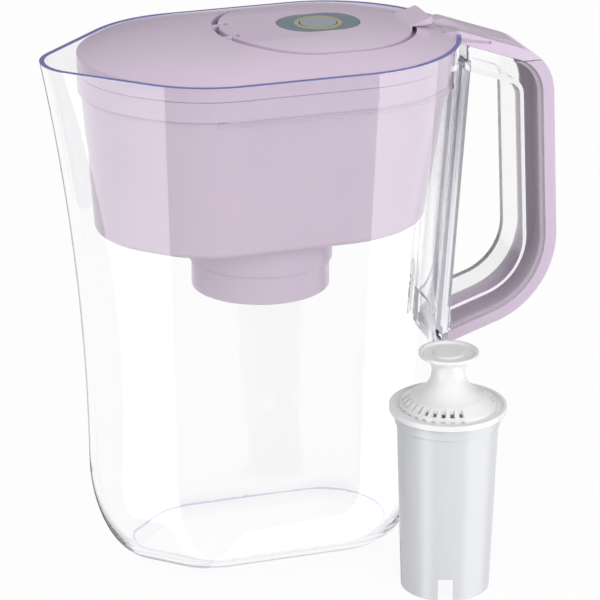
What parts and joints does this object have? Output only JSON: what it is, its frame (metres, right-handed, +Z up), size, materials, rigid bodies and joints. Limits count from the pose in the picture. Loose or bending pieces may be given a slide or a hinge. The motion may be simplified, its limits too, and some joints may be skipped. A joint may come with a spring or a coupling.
{
  "type": "water filter pitcher",
  "caption": "Clear pitcher with a lilac lid, hopper and handle cover, a hinged refill flap with a filter indicator, and a filter cartridge standing beside it.",
  "frame": {"origin": "on the table under the middle of the jug's base", "axes": "+X to the handle, -X to the spout, +Z up; the cartridge stands on the -Y side"},
  "size_m": [0.2663, 0.1771, 0.2768],
  "materials": {
    "clear_plastic": "clear polished moulding",
    "lilac_plastic": "opaque glossy moulding",
    "indicator_face": "glossy grey-blue face",
    "light_ring": "frosted light guide",
    "circuit_board": "solder mask",
    "contact_steel": "nickel-plated steel",
    "led_lens": "moulded lens",
    "chip_resin": "moulded resin",
    "seal_rubber": "soft moulded silicone",
    "white_plastic": "white moulding with a soft sheen",
    "screen_mesh": "fine woven mesh",
    "filter_media": "granules"
  },
  "bodies": {
    "pitcher": {"pitcher_body": "clear_plastic", "handle_frame": "clear_plastic", "handle_cover": "lilac_plastic"},
    "reservoir": {"reservoir": "lilac_plastic"},
    "lid": {"lid": "lilac_plastic"},
    "flap": {"refill_flap": "lilac_plastic", "indicator_housing": "lilac_plastic", "indicator_plate": "indicator_face", "indicator_light_ring": "light_ring", "indicator_circuit_board": "circuit_board", "indicator_dome_switch": "contact_steel", "indicator_leds": "led_lens", "indicator_timer_chip": "chip_resin", "battery_clip": "contact_steel", "indicator_battery": "contact_steel", "indicator_gasket": "seal_rubber", "indicator_back_cover": "lilac_plastic"},
    "button": {"indicator_button": "indicator_face"},
    "cartridge": {"cartridge_cup": "white_plastic", "cartridge_cap": "white_plastic", "cartridge_seal": "seal_rubber", "cartridge_lower_screen": "screen_mesh", "cartridge_media": "filter_media", "cartridge_upper_screen": "screen_mesh"}
  },
  "joints": [
    {"name": "reservoir_lift", "type": "slide", "parent": "pitcher", "child": "reservoir", "axis": [0, 0, 1], "range_m": [0, 0.14]},
    {"name": "lid_lift", "type": "slide", "parent": "reservoir", "child": "lid", "axis": [0, 0, 1], "range_m": [0, 0.08]},
    {"name": "flap_hinge", "type": "hinge", "parent": "lid", "child": "flap", "pos_m": [-0.0125, 0, 0.27484], "axis": [0, -1, 0], "range_deg": [0, 95]},
    {"name": "button_press", "type": "slide", "parent": "flap", "child": "button", "axis": [0, 0, -1], "range_m": [0, 0.0006], "stiffness_N_per_m": 2000},
    {"name": "cartridge_lift", "type": "slide", "parent": "pitcher", "child": "cartridge", "axis": [0, 0, 1], "range_m": [0, 0.04]}
  ]
}
